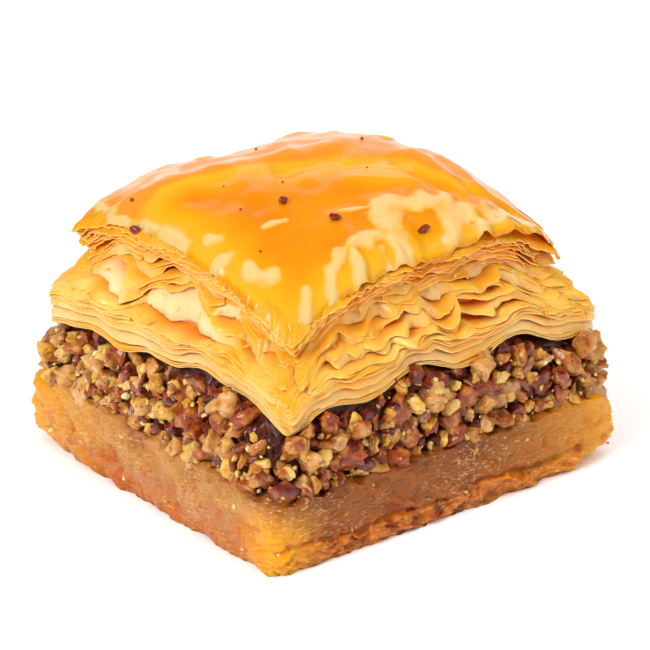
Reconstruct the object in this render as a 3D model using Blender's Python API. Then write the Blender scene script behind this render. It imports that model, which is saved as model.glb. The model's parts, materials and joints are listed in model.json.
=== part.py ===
"""A square piece of baklava, cut from a tray, in metres with +Z up.

It stands on the flat underside of its soaked base, which is centred on the
origin. Its three layers are separate solids that lie on each other: the
syrup-soaked base pastry, the chopped nut filling and the puffed top pastry
with its stepped leaf edges. The near corner, where the top hangs lowest, is
the one at -X, -Y.

Every layer is a stack of rings. A ring is the square outline of the cut, drawn
at some height and set in from the base's sides by some distance, so each layer
is described by how that height and distance change from ring to ring.
"""

import math

import bmesh
import bpy
import numpy as np
from mathutils import Matrix

MM = 0.001

# The cut: the base is the widest layer, and the others are set in from it.
LENGTH = 49.2 * MM
WIDTH = 46.2 * MM
REST_GAP = 0.3 * MM
POINTS_AROUND = 92

# Base pastry: a compressed slab with an eased foot that lifts at its two outer corners.
BASE_HEIGHT = 8.4 * MM
BASE_CORNER_POWER = 26.0
BASE_LEVELS = (0.0, 0.10, 0.28, 0.55, 0.80, 0.94, 1.0)
BASE_EDGE_ROUND = 0.7 * MM
BASE_CORNER_LIFT = 2.6 * MM
BASE_FOOT_LEVEL = 0.3
BASE_SHOULDER_LEVEL = 0.8
BASE_TOP_SET_IN = 0.6 * MM
BASE_SIDE_SWELL = 0.075 * MM
BASE_SIDE_CRESTS = (7, 19)

# Nut filling: a rough slab of coarse lumps that fills the space out to the base's edges.
FILLING_CORNER_POWER = 18.0
FILLING_LEVELS = (0.0, 0.15, 0.32, 0.5, 0.68, 0.84, 0.96)
FILLING_SET_IN = 0.9 * MM
FILLING_LUMP = 0.3 * MM
FILLING_LUMP_CRESTS = (23, 14, 31)
FILLING_LUMP_SHARES = (1.0, 0.8, 0.5)
FILLING_CORNER_CALM = 0.8
FILLING_SHOULDER = 1.5 * MM
FILLING_SHOULDER_LEVEL = 0.6

# The hem, where the top pastry lies on the nuts: it waves along the sides and droops at the
# corners. A wave along a side is its height, its length and the distance of a crest from the middle.
HEM_HEIGHT = 16.6 * MM
HEM_SET_IN = 2.9 * MM
HEM_SHARES = (0.25, 0.5, 0.72, 0.9)
HEM_FRONT_WAVES = ((1.0 * MM, 13.7 * MM, -4.0 * MM),)
HEM_SIDE_WAVES = ((0.9 * MM, 35.6 * MM, -10.0 * MM), (0.4 * MM, 8.9 * MM, -6.0 * MM))
HEM_WAVE_REACH = 5
HEM_CORNER_DROOP = 2.6 * MM
HEM_CORNER_REACH = 4

# Top pastry's side: tiers of leaves that lean in and narrow to a waist below the top sheet.
# The whole top is skewed a little, with its front pushed to +X.
TOP_SKEW = 1.4 * MM
TOP_CORNER_POWER = 40.0
TIERS = 7
TIER_LIP = 0.34
TIER_MIDDLE = 0.5
TIER_STEP = 0.8 * MM
TIER_SPREAD = 0.2
TIER_WANDER = 0.35 * MM
LEAN_START = 0.2
LEAN_SPAN = 0.5
WAIST_LEVEL = 0.76
WAIST_SPAN = 0.14
WAIST_DEPTH = 0.9 * MM

# The domed sheet: its summit sits behind the middle, and it falls by other amounts on each side.
CROWN_HEIGHT = 33.9 * MM
CROWN_SET_IN = 5.3 * MM
CROWN_SHARES = (1.0, 0.96, 0.88, 0.76, 0.6, 0.42, 0.22)
CROWN_SUMMIT = (0.05, 0.18)
CROWN_FALL_X = (4.3 * MM, 6.4 * MM)
CROWN_FALL_Y = (3.7 * MM, 6.9 * MM)
CROWN_POWER_X = 3.5
CROWN_POWER_Y = 2.2
CROWN_TIP_LIFT = 1.8 * MM
CROWN_DENT = 0.25 * MM

SHARP_EDGE = math.radians(40.0)


def cut_outline(power):
    """Unit outline of a square cut as (u, v) rows, with its corners eased by a superellipse."""
    turn = np.arange(POINTS_AROUND) * 4.0 / POINTS_AROUND
    u = np.clip(2.0 - 2.0 * np.abs(turn - 1.5), -1.0, 1.0)
    v = np.clip(2.0 - 2.0 * np.abs(turn - 2.5), -1.0, 1.0)
    reach = (np.abs(u) ** power + np.abs(v) ** power) ** (1.0 / power)
    return np.stack([u, v], axis=1) / reach[:, None]


def half_sizes(set_in):
    """Half length and half width of a layer that is set in from the base's sides."""
    return np.array([LENGTH / 2.0 - set_in, WIDTH / 2.0 - set_in])


def along_side(waves, place):
    """The waves of one side, added up at a distance from that side's middle."""
    return sum(height * np.cos(math.tau * (place - crest) / length) for height, length, crest in waves)


def hem_surface(u, v):
    """Height of the surface where the top pastry lies on the nuts; u and v run from -1 to 1."""
    half_length, half_width = half_sizes(HEM_SET_IN)
    wave = np.abs(v) ** HEM_WAVE_REACH * along_side(HEM_FRONT_WAVES, u * half_length)
    wave = wave + np.abs(u) ** HEM_WAVE_REACH * along_side(HEM_SIDE_WAVES, v * half_width)
    corner = np.abs(u * v) ** HEM_CORNER_REACH
    return HEM_HEIGHT + wave * (1.0 - corner) - HEM_CORNER_DROOP * corner


def fall(offset, drops, power):
    """How far the domed sheet falls at an offset from its summit, with a drop for each side."""
    return np.where(offset < 0.0, drops[0], drops[1]) * np.abs(offset) ** power


def crown_surface(u, v):
    """Height of the domed top sheet; u and v run from -1 to 1 across it."""
    dents = np.cos(4.1 * u + 0.7) * np.cos(3.7 * v - 0.5) + 0.6 * np.sin(6.3 * u - 2.9 * v)
    ease = 1.0 - np.maximum(np.abs(u), np.abs(v)) ** 4
    dome = fall(u - CROWN_SUMMIT[0], CROWN_FALL_X, CROWN_POWER_X)
    dome = dome + fall(v - CROWN_SUMMIT[1], CROWN_FALL_Y, CROWN_POWER_Y)
    lifted_tip = CROWN_TIP_LIFT * ((1.0 - u) * (1.0 + v) / 4.0) ** 3
    return CROWN_HEIGHT - dome + lifted_tip + CROWN_DENT * ease * dents


def around_wave(crests, phase):
    """A wave with a whole number of crests round the outline."""
    turn = np.arange(POINTS_AROUND) * math.tau / POINTS_AROUND
    return np.sin(crests * turn + phase)


def ring(outline, halves, heights, skew=0.0):
    """One ring of points: the unit outline at a layer's half sizes and at the given heights."""
    points = np.empty((POINTS_AROUND, 3))
    points[:, :2] = outline * halves
    points[:, 0] -= skew * outline[:, 1]
    points[:, 2] = heights
    return points


def loft(name, rings, material):
    """A closed solid from a stack of rings, from the middle of its underside to the middle of its top."""
    mesh = bpy.data.meshes.new(name)
    shape = bmesh.new()
    loops = [[shape.verts.new(point) for point in points] for points in rings]
    for below, above in zip(loops, loops[1:]):
        for i in range(POINTS_AROUND):
            j = (i + 1) % POINTS_AROUND
            shape.faces.new((below[i], below[j], above[j], above[i]))
    for loop, outward in ((loops[0], -1), (loops[-1], 1)):
        pole = shape.verts.new(sum((vert.co for vert in loop), loop[0].co * 0.0) / POINTS_AROUND)
        for i in range(POINTS_AROUND):
            j = (i + 1) % POINTS_AROUND
            shape.faces.new((loop[i], loop[j], pole)[::outward])
    bmesh.ops.recalc_face_normals(shape, faces=shape.faces)
    shape.to_mesh(mesh)
    shape.free()
    mesh.materials.append(material)
    mesh.shade_smooth()
    mesh.set_sharp_from_angle(angle=SHARP_EDGE)
    obj = bpy.data.objects.new(name, mesh)
    bpy.context.scene.collection.objects.link(obj)
    return obj


def pastry_material(name, colour, roughness):
    """A Principled finish with a plain colour for one layer."""
    material = bpy.data.materials.new(name)
    material.use_nodes = True
    shader = material.node_tree.nodes["Principled BSDF"]
    shader.inputs["Base Color"].default_value = (*colour, 1.0)
    shader.inputs["Roughness"].default_value = roughness
    shader.inputs["Metallic"].default_value = 0.0
    return material


def past(level, start):
    """How far a level is past a start level, from 0 there to 1 at level 1."""
    return max(0.0, (level - start) / (1.0 - start))


def make_base():
    """The soaked slab: flat underneath, rounded at the foot, with sides that lean in a little."""
    outline = cut_outline(BASE_CORNER_POWER)
    outer_corner = np.maximum(0.0, -outline[:, 0] * outline[:, 1]) ** 6
    rings = []
    for level in BASE_LEVELS:
        below_foot = max(0.0, 1.0 - level / BASE_FOOT_LEVEL)
        foot = (BASE_EDGE_ROUND + BASE_CORNER_LIFT * outer_corner) * below_foot**2
        shoulder = BASE_EDGE_ROUND * past(level, BASE_SHOULDER_LEVEL) ** 2
        lean = BASE_TOP_SET_IN * level**2
        swell = sum(around_wave(crests, crests * level / 3.0) for crests in BASE_SIDE_CRESTS)
        inward = foot + shoulder + lean + BASE_SIDE_SWELL * (2.0 + swell)
        rings.append(ring(outline, half_sizes(0.0) - inward[:, None], level * BASE_HEIGHT))
    return loft("base_pastry", rings, pastry_material("soaked_pastry", (0.70, 0.36, 0.10), 0.35))


def hem_rings(drop):
    """The rings across the surface between nuts and top pastry, from the middle out, lowered by drop."""
    rings = []
    for share in HEM_SHARES:
        outline = share * cut_outline(TOP_CORNER_POWER)
        heights = hem_surface(outline[:, 0], outline[:, 1]) - drop
        rings.append(ring(outline, half_sizes(HEM_SET_IN), heights, TOP_SKEW))
    return rings


def make_filling():
    """The chopped nuts: a slab with lumpy sides whose top follows the hem a small gap below it."""
    outline = cut_outline(FILLING_CORNER_POWER)
    calm = 1.0 - FILLING_CORNER_CALM * np.abs(outline[:, 0] * outline[:, 1]) ** HEM_CORNER_REACH
    bottom = BASE_HEIGHT + REST_GAP
    side_top = hem_surface(outline[:, 0], outline[:, 1]) - REST_GAP - FILLING_SHOULDER
    rings = []
    for level in FILLING_LEVELS:
        lumps = sum(
            share * around_wave(crests, (9.0 - crests / 4.0) * level)
            for crests, share in zip(FILLING_LUMP_CRESTS, FILLING_LUMP_SHARES)
        )
        shoulder = FILLING_SHOULDER * past(level, FILLING_SHOULDER_LEVEL) ** 2
        inward = FILLING_SET_IN + FILLING_LUMP * lumps * calm + shoulder
        height = bottom + level * (side_top - bottom)
        rings.append(ring(outline, half_sizes(0.0) - inward[:, None], height))
    rings += hem_rings(REST_GAP)[::-1]
    return loft("nut_filling", rings, pastry_material("chopped_nuts", (0.26, 0.13, 0.06), 0.5))


def side_set_in(level):
    """How far the top pastry's side is set in, from level 0 at the hem to level 1 at the top sheet."""
    lean = min(1.0, max(0.0, (level - LEAN_START) / LEAN_SPAN))
    waist = math.exp(-(((level - WAIST_LEVEL) / WAIST_SPAN) ** 2))
    return HEM_SET_IN + (CROWN_SET_IN - HEM_SET_IN) * lean**2 * (3.0 - 2.0 * lean) + WAIST_DEPTH * waist


def tier_rings(outline):
    """The stepped side of the top pastry, from the hem up: each tier juts out over a recess."""
    low = hem_surface(outline[:, 0], outline[:, 1])
    high = crown_surface(outline[:, 0], outline[:, 1])
    rings = []
    for tier in range(TIERS):
        foot = (tier + TIER_SPREAD * math.sin(2.4 * tier)) / TIERS
        sway = math.sin(math.pi * min(1.0, 0.15 + foot))
        wander = TIER_WANDER * around_wave(5 + 2 * tier, 1.7 * tier) * sway
        for part, step in ((0.0, 0.0), (TIER_LIP, 0.0), (TIER_MIDDLE, TIER_STEP)):
            if tier == TIERS - 1 and part:
                continue
            level = foot + part / TIERS
            set_in = side_set_in(level) + step + wander
            height = low + level * (high - low)
            rings.append(ring(outline, half_sizes(0.0) - set_in[:, None], height, TOP_SKEW))
    return rings


def make_top():
    """The puffed leaves: a wavy hem, stepped tiers and a domed sheet that overhangs them."""
    outline = cut_outline(TOP_CORNER_POWER)
    rings = hem_rings(0.0) + tier_rings(outline)
    for share in CROWN_SHARES:
        heights = crown_surface(share * outline[:, 0], share * outline[:, 1])
        rings.append(ring(share * outline, half_sizes(CROWN_SET_IN), heights, TOP_SKEW))
    return loft("top_pastry", rings, pastry_material("baked_leaves", (0.85, 0.48, 0.12), 0.3))


def centre_on_floor():
    """Moves the whole piece sideways so that the middle of its footprint is on the origin."""
    meshes = [obj.data for obj in bpy.data.objects]
    points = np.array([vert.co[:] for mesh in meshes for vert in mesh.vertices])
    middle = (points.min(axis=0) + points.max(axis=0)) / 2.0
    for mesh in meshes:
        mesh.transform(Matrix.Translation((-middle[0], -middle[1], 0.0)))


def clear_scene():
    """Removes whatever the startup scene holds."""
    for obj in list(bpy.data.objects):
        bpy.data.objects.remove(obj, do_unlink=True)


def main():
    clear_scene()
    make_base()
    make_filling()
    make_top()
    centre_on_floor()


main()
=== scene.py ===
# %% [markdown]
# # A piece of baklava
# A tray of baklava is cut before it is baked, so each piece shows its layers on four sides: pressed
# leaves soaked in syrup below, chopped walnuts in the middle, and crisp leaves above that puffed up in
# the oven. This lesson dresses three plain solids with those layers. The solids give every size and
# place, and each finished piece rides on them.

import json
import math

import bmesh
import bpy
import numpy as np
from mathutils import Matrix, Vector

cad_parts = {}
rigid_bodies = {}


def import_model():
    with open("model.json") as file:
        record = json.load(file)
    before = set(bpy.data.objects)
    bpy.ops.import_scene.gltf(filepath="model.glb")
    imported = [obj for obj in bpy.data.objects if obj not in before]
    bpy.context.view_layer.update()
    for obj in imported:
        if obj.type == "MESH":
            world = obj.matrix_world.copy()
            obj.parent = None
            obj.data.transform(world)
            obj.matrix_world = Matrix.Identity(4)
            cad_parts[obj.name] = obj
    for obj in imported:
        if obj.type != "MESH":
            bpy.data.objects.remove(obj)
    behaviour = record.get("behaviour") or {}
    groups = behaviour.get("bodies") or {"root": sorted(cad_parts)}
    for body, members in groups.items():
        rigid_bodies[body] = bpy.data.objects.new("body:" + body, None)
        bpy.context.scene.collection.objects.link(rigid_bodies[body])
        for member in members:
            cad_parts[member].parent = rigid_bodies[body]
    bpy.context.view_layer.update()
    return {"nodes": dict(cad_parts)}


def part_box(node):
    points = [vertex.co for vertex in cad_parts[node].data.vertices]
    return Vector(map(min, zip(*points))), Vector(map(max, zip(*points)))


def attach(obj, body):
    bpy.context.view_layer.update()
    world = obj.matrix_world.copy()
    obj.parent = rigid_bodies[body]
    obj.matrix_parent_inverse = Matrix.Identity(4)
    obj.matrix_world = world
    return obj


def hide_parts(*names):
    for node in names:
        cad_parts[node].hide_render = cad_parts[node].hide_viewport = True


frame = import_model()
print("nodes:", sorted(frame["nodes"]))

# %% [markdown]
# Lengths below are in millimetres, because a leaf or a crumb is easy to picture that way. The solids'
# boxes give the driving sizes, and a mesh is brought to metres when it is made.

# %% Read the sizes from the solids
MM = 0.001


def box_mm(node):
    """The lowest and highest corner of a solid, in millimetres."""
    return [np.array(corner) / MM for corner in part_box(node)]


BASE_LOW, BASE_HIGH = box_mm("base_pastry")
TOP_LOW, TOP_HIGH = box_mm("top_pastry")
HALF = (BASE_HIGH - BASE_LOW)[:2] / 2.0
BASE_TOP = BASE_HIGH[2]
PERIMETER = 4.0 * HALF.sum()
print("half sizes", HALF.round(2), "base top", BASE_TOP.round(2), "crown", TOP_HIGH[2].round(2))

# %% [markdown]
# The pieces share three small tools: one writes a mesh from rings of points, one adds a node to a tree,
# and one turns the colour on a paint card, which is what a hex value is, into the linear light that a
# renderer adds up.

# %% Tools for meshes
def plain_object(name, mesh, material=None):
    """Puts a mesh in the scene as an object at the origin."""
    obj = bpy.data.objects.new(name, mesh)
    bpy.context.scene.collection.objects.link(obj)
    if material:
        mesh.materials.clear()
        mesh.materials.append(material)
    return obj


def mesh_from(name, points, faces, marks=None):
    """A smooth mesh from points in millimetres; marks are named numbers, one for each point."""
    mesh = bpy.data.meshes.new(name)
    faces = np.asarray(faces, np.int32)
    mesh.vertices.add(len(points))
    mesh.vertices.foreach_set("co", (np.asarray(points, float) * MM).astype(np.float32).ravel())
    mesh.loops.add(faces.size)
    mesh.loops.foreach_set("vertex_index", faces.ravel())
    mesh.polygons.add(len(faces))
    mesh.polygons.foreach_set("loop_start", np.arange(len(faces), dtype=np.int32) * faces.shape[1])
    for mark, values in (marks or {}).items():
        attribute = mesh.attributes.new(mark, "FLOAT", "POINT")
        attribute.data.foreach_set("value", np.asarray(values, np.float32).ravel())
    mesh.update(calc_edges=True)
    mesh.validate()
    mesh.shade_smooth()
    return mesh


def ring_faces(rings, around, closed, start=0):
    """Faces between rings of points; closed joins the last ring to the first."""
    below = np.arange(rings if closed else rings - 1)
    i = np.arange(around)
    a = start + below[:, None] * around + i
    b = start + below[:, None] * around + (i + 1) % around
    up = start + ((below + 1) % rings)[:, None] * around
    return np.stack([a, b, up + (i + 1) % around, up + i], axis=-1).reshape(-1, 4)


def loft_mesh(name, rings, marks=None):
    """A closed solid from rings of points, from the middle of its underside to the middle of its top."""
    rings = np.asarray(rings)
    count, around = rings.shape[:2]
    points = np.concatenate([rings.reshape(-1, 3), rings[:1].mean(axis=1), rings[-1:].mean(axis=1)])
    low, high = count * around, count * around + 1
    i = np.arange(around)
    j = (i + 1) % around
    last = (count - 1) * around
    caps = [np.stack([j, i, 0 * i + low, 0 * i + low], 1), np.stack([last + i, last + j, 0 * i + high, 0 * i + high], 1)]
    mesh = bpy.data.meshes.new(name)
    faces = ring_faces(count, around, closed=False).tolist() + [face[:3] for cap in caps for face in cap.tolist()]
    mesh.from_pydata((points * MM).tolist(), [], faces)
    for mark, values in (marks or {}).items():
        values = np.asarray(values, np.float32).reshape(count, around)
        padded = np.concatenate([values.ravel(), [values[0].mean(), values[-1].mean()]])
        mesh.attributes.new(mark, "FLOAT", "POINT").data.foreach_set("value", padded)
    mesh.shade_smooth()
    return mesh


# %% Tools for node trees
def add(tree, kind, inputs=None, stops=(), **settings):
    """Adds a node; an input is a value, or another node's socket to link, and stops are a ramp's colours."""
    made = tree.nodes.new(kind)
    for name, value in settings.items():
        setattr(made, name, value)
    for key, value in (inputs or {}).items():
        if isinstance(value, bpy.types.NodeSocket):
            tree.links.new(value, made.inputs[key])
        else:
            made.inputs[key].default_value = value
    for i, (place, colour) in enumerate(stops):
        elements = made.color_ramp.elements
        element = elements[i] if i < 2 else elements.new(place)
        element.position, element.color = place, linear(colour)
    return made


def linear(hex_colour):
    """The linear RGBA of an sRGB hex colour."""
    parts = [int(hex_colour[i : i + 2], 16) / 255.0 for i in (1, 3, 5)]
    return (*[p / 12.92 if p <= 0.04045 else ((p + 0.055) / 1.055) ** 2.4 for p in parts], 1.0)


def cells(size):
    """The scale of a noise whose blobs are about the given size in mm: how many fit in a metre."""
    return 1.0 / (size * MM)


def new_tree(name, sizes):
    """An empty geometry tree with named inputs, as (label, socket type, default) rows."""
    tree = bpy.data.node_groups.new(name, "GeometryNodeTree")
    tree.interface.new_socket("Geometry", in_out="INPUT", socket_type="NodeSocketGeometry")
    tree.interface.new_socket("Geometry", in_out="OUTPUT", socket_type="NodeSocketGeometry")
    for label, kind, default in sizes:
        socket = tree.interface.new_socket(label, in_out="INPUT", socket_type=kind)
        if default is not None:
            socket.default_value = default
    return tree, add(tree, "NodeGroupInput").outputs


def close_tree(tree, geometry, material):
    """Ends a tree: instances made real, the material set, and the result handed out."""
    real = add(tree, "GeometryNodeRealizeInstances", {"Geometry": geometry}).outputs[0]
    dressed = add(tree, "GeometryNodeSetMaterial", {"Geometry": real, "Material": material}).outputs[0]
    add(tree, "NodeGroupOutput", {"Geometry": dressed})


def run_tree(name, mesh, tree, values):
    """Runs a tree on a mesh with its inputs set, and keeps the result as a plain object."""
    obj = plain_object(name, mesh)
    modifier = obj.modifiers.new(tree.name, "NODES")
    modifier.node_group = tree
    for item in tree.interface.items_tree:
        if item.in_out == "INPUT" and item.name in values:
            modifier[item.identifier] = values[item.name]
    depsgraph = bpy.context.evaluated_depsgraph_get()
    result = bpy.data.meshes.new_from_object(
        obj.evaluated_get(depsgraph), preserve_all_data_layers=True, depsgraph=depsgraph
    )
    obj.modifiers.remove(modifier)
    obj.data = result
    return obj


def settle(obj, slot, *nodes):
    """Rides a finished piece on the body and hides the solids that it stands for; slot is not used."""
    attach(obj, "root")
    if nodes:
        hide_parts(*nodes)
    triangles = sum(len(face.vertices) - 2 for face in obj.data.polygons)
    print(f"{obj.name}: {triangles} triangles")


# %% [markdown]
# Hand-made food is uneven in a smooth way: an edge wanders, then wrinkles, and comes back to where it
# started. A few sine waves with whole numbers of crests round the rim do that, and a fixed seed keeps
# the same piece every time.

# %% Unevenness round the rim
def rim_noise(seed, longest, shortest, turn):
    """Smooth noise round the rim, mostly from -1 to 1, with waves between two lengths."""
    rng = np.random.default_rng(seed)
    crests = rng.integers(round(PERIMETER / longest), round(PERIMETER / shortest) + 1, 18)
    phases = rng.uniform(0.0, math.tau, 18)
    return np.sin(np.multiply.outer(turn, crests) * math.tau / 4.0 + phases).sum(axis=-1) / 3.6


def plane_noise(seed, size, x, y):
    """Smooth noise over a plane, mostly from -1 to 1, with blobs of about the given size."""
    rng = np.random.default_rng(seed)
    total = 0.0
    for _ in range(14):
        angle, phase = rng.uniform(0.0, math.tau, 2)
        pace = math.tau / (size * rng.uniform(1.2, 2.8))
        total = total + np.sin((x * math.cos(angle) + y * math.sin(angle)) * pace + phase)
    return total / 3.2


def smooth_step(low, high, x):
    """Rises from 0 to 1 between two values, or falls if they are given high first."""
    share = np.clip((x - low) / (high - low), 0.0, 1.0)
    return share * share * (3.0 - 2.0 * share)


def cut_rim(around, power):
    """The cut's outline: how far round each point is, from 0 to 4, and its u and v from -1 to 1."""
    turn = np.arange(around) * 4.0 / around
    u = np.clip(2.0 - 2.0 * np.abs(turn - 1.5), -1.0, 1.0)
    v = np.clip(2.0 - 2.0 * np.abs(turn - 2.5), -1.0, 1.0)
    reach = (np.abs(u) ** power + np.abs(v) ** power) ** (1.0 / power)
    return turn, u / reach, v / reach


# %% [markdown]
# The shape of the top pastry follows two surfaces. The hem lies on the nuts, waves along the sides and
# droops at the corners. The crown is the domed top sheet. A leaf lies somewhere between them, so one
# number, its level from 0 to 1, says which leaf it is.

# %% The hem and the crown
HEM_DROOP = 2.6
HEM_LEVEL = TOP_LOW[2] + HEM_DROOP
HEM_SET_IN = 2.9
CROWN_SET_IN = 5.3
CROWN_TOP = TOP_HIGH[2] - 0.1
TOP_SKEW = 1.4


def hem_surface(u, v):
    """Height of the surface between nuts and top pastry."""
    x = u * (HALF[0] - HEM_SET_IN)
    y = v * (HALF[1] - HEM_SET_IN)
    front = np.cos(math.tau * (x + 4.0) / 13.7)
    side = 0.9 * np.cos(math.tau * (y + 10.0) / 35.6) + 0.4 * np.cos(math.tau * (y + 6.0) / 8.9)
    corner = np.abs(u * v) ** 4
    wave = np.abs(v) ** 5 * front + np.abs(u) ** 5 * side
    return HEM_LEVEL + wave * (1.0 - corner) - HEM_DROOP * corner


# Waves of the crown: from (x, y) to (x, y), half width and height, in mm; a dip has a height below 0.
WAVES = (
    (-17.0, 12.0, -9.5, 6.5, 1.5, 0.5),
    (-9.5, 6.5, -1.0, 4.5, 1.3, 0.4),
    (-1.0, 4.5, 6.5, 3.5, 1.2, 0.2),
    (-4.0, 1.5, 2.5, 1.0, 1.6, -0.6),
    (3.0, -1.0, 9.0, -2.5, 1.3, -0.45),
    (9.0, -2.5, 9.5, -9.5, 1.1, -0.4),
    (1.0, -4.5, 7.0, -7.0, 1.0, 0.35),
    (11.5, -2.0, 12.0, -10.5, 1.2, 0.6),
    (15.5, 2.0, 14.5, -9.0, 1.3, 0.5),
    (-14.0, 4.0, -11.0, -3.0, 1.6, -0.3),
    (-3.0, 15.0, 3.0, 15.5, 2.6, -0.95),
    (9.0, 12.0, 13.0, 9.0, 2.2, -0.6),
    (15.5, 4.0, 17.0, -1.0, 1.2, -0.9),
    (5.5, 15.0, 8.0, 13.0, 1.2, 0.35),
)


def stroke(x, y, x0, y0, x1, y1):
    """Distance from a straight stroke that is drawn on the top."""
    along_x, along_y = x1 - x0, y1 - y0
    share = np.clip(((x - x0) * along_x + (y - y0) * along_y) / (along_x**2 + along_y**2), 0.0, 1.0)
    return np.hypot(x - x0 - share * along_x, y - y0 - share * along_y)


def wave_field(x, y):
    """Height of the crown's soft waves and dips."""
    height = 0.0
    for *ends, width, rise in WAVES:
        height = height + rise * np.exp(-((stroke(x, y, *ends) / width) ** 2))
    return height


def crown_surface(u, v):
    """Height of the domed top sheet."""
    x = u * (HALF[0] - CROWN_SET_IN) - TOP_SKEW * v
    y = v * (HALF[1] - CROWN_SET_IN)
    from_x, from_y = u - 0.05, v - 0.18
    fall = np.where(from_x < 0.0, 4.3, 6.4) * np.abs(from_x) ** 3.5
    fall = fall + np.where(from_y < 0.0, 3.7, 6.9) * np.abs(from_y) ** 2.2
    return CROWN_TOP - fall + 1.8 * ((1.0 - u) * (1.0 + v) / 4.0) ** 3 + wave_field(x, y)


def side_set_in(level):
    """How far a leaf's rim is set in from the base: out at the hem, in at the waist, out at the top."""
    lean = smooth_step(0.2, 0.7, level)
    waist = 0.9 * np.exp(-(((level - 0.76) / 0.14) ** 2))
    flare = -0.4 * np.exp(-(((level - 0.3) / 0.12) ** 2))
    return HEM_SET_IN + (CROWN_SET_IN - HEM_SET_IN) * lean + waist + flare


# %% [markdown]
# A pastry leaf is about a tenth of a millimetre thick. Some thirty of them could be simulated as
# sheets, but then nobody could say where a pocket opens. Here they are laid one by one instead: the
# gaps between the leaves share the height at each place round the rim, and a leaf that would sink into
# the one below rests on it. Where a gap is closed, the leaf's rim hangs down over it like a lip.

# %% Share the height among the leaves
LEAF = 0.1
LEAF_AROUND = 480
LEAF_RINGS = np.array([0.0, 0.06, 0.14, 0.26, 0.42, 0.64, 0.95, 1.4, 2.0, 3.0, 4.6, 7.0])
# The gap above each leaf, in mm: pressed together in the hem, open in the middle, close at the top.
GROUPS = {
    "hem_leaves": (0.26, 0.26, 1.5, 1.0, 0.35, 0.3, 0.4),
    "middle_leaves": (0.3, 1.1, 0.3, 1.1, 0.3, 1.1, 0.35, 0.7),
    "upper_leaves": (0.34, 0.3, 0.32, 0.28, 0.3, 0.28, 0.26, 0.24),
}
# Pockets: how far round (0 to 4), half width in mm, which gap, how much it opens in mm, and how far
# the leaf above hangs down over it, from 0 for an open mouth to 1 for a closed pillow.
POCKETS = (
    (3.53, 9.5, 8, 4.8, 1.0),
    (3.20, 8.0, 9, 2.4, 0.95),
    (3.30, 4.5, 12, 1.2, 0.8),
    (3.84, 4.0, 9, 1.4, 0.8),
    (0.14, 3.0, 10, 1.2, 0.9),
    (0.22, 2.6, 12, 1.4, 0.9),
    (0.31, 2.8, 11, 2.0, 0.9),
    (0.42, 3.0, 9, 2.2, 0.95),
    (0.40, 2.6, 13, 1.6, 0.8),
    (0.52, 3.0, 11, 3.2, 0.9),
    (0.64, 3.6, 9, 2.4, 0.3),
    (0.70, 3.2, 12, 2.2, 0.9),
    (0.82, 4.2, 10, 2.2, 0.8),
    (1.25, 6.0, 9, 2.8, 1.0),
    (1.52, 3.5, 12, 1.8, 0.7),
    (1.72, 5.5, 10, 2.6, 0.9),
    (2.22, 7.0, 9, 3.2, 1.0),
    (2.45, 3.5, 12, 1.8, 0.6),
    (2.66, 6.0, 10, 2.8, 0.9),
)
turn, rim_u, rim_v = cut_rim(LEAF_AROUND, 40.0)


def pocket_windows():
    """For each pocket, how much of it is felt at each place round the rim, from 0 to 1."""
    windows = []
    for place, half_width, _, _, _ in POCKETS:
        apart = np.abs((turn - place + 2.0) % 4.0 - 2.0) * PERIMETER / 4.0
        windows.append(np.clip(1.0 - (apart / half_width) ** 2, 0.0, None) ** 1.4)
    return windows


windows = pocket_windows()
gap_sizes = [size for sizes in GROUPS.values() for size in sizes] + [0.3]
LEAVES = len(gap_sizes)
gaps, hanging = [], []
for number, size in enumerate(gap_sizes):
    in_hem = number < len(GROUPS["hem_leaves"])
    gap = size * np.exp((0.12 if in_hem else 0.5) * rim_noise(100 + number, 40.0, 9.0, turn))
    hang = np.clip(0.75 + 0.6 * rim_noise(200 + number, 30.0, 6.0, turn), 0.0, 1.0)
    if in_hem:
        hang = np.clip(0.95 + 0.15 * hang, 0.0, 1.0)
    for window, (_, _, which, opening, closing) in zip(windows, POCKETS):
        if which == number:
            gap = gap + opening * window
            hang = hang + (closing - hang) * np.sqrt(window)
    gaps.append(gap)
    hanging.append(hang)
gaps, hanging = np.array(gaps), np.array(hanging)
levels = np.cumsum(gaps, axis=0) / gaps.sum(axis=0)
levels = np.concatenate([np.zeros((1, LEAF_AROUND)), levels])
print(LEAVES, "gaps; middle leaf between", levels[12].min().round(2), "and", levels[12].max().round(2))


# %% Lay the leaves one on another
MEMORY = np.arange(0.0, 16.0, 0.1)
UNDER_SHEET = 0.9
heap = np.full((LEAF_AROUND, len(MEMORY)), -1.0)
FRONT = smooth_step(-0.8, -1.0, rim_v)


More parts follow.
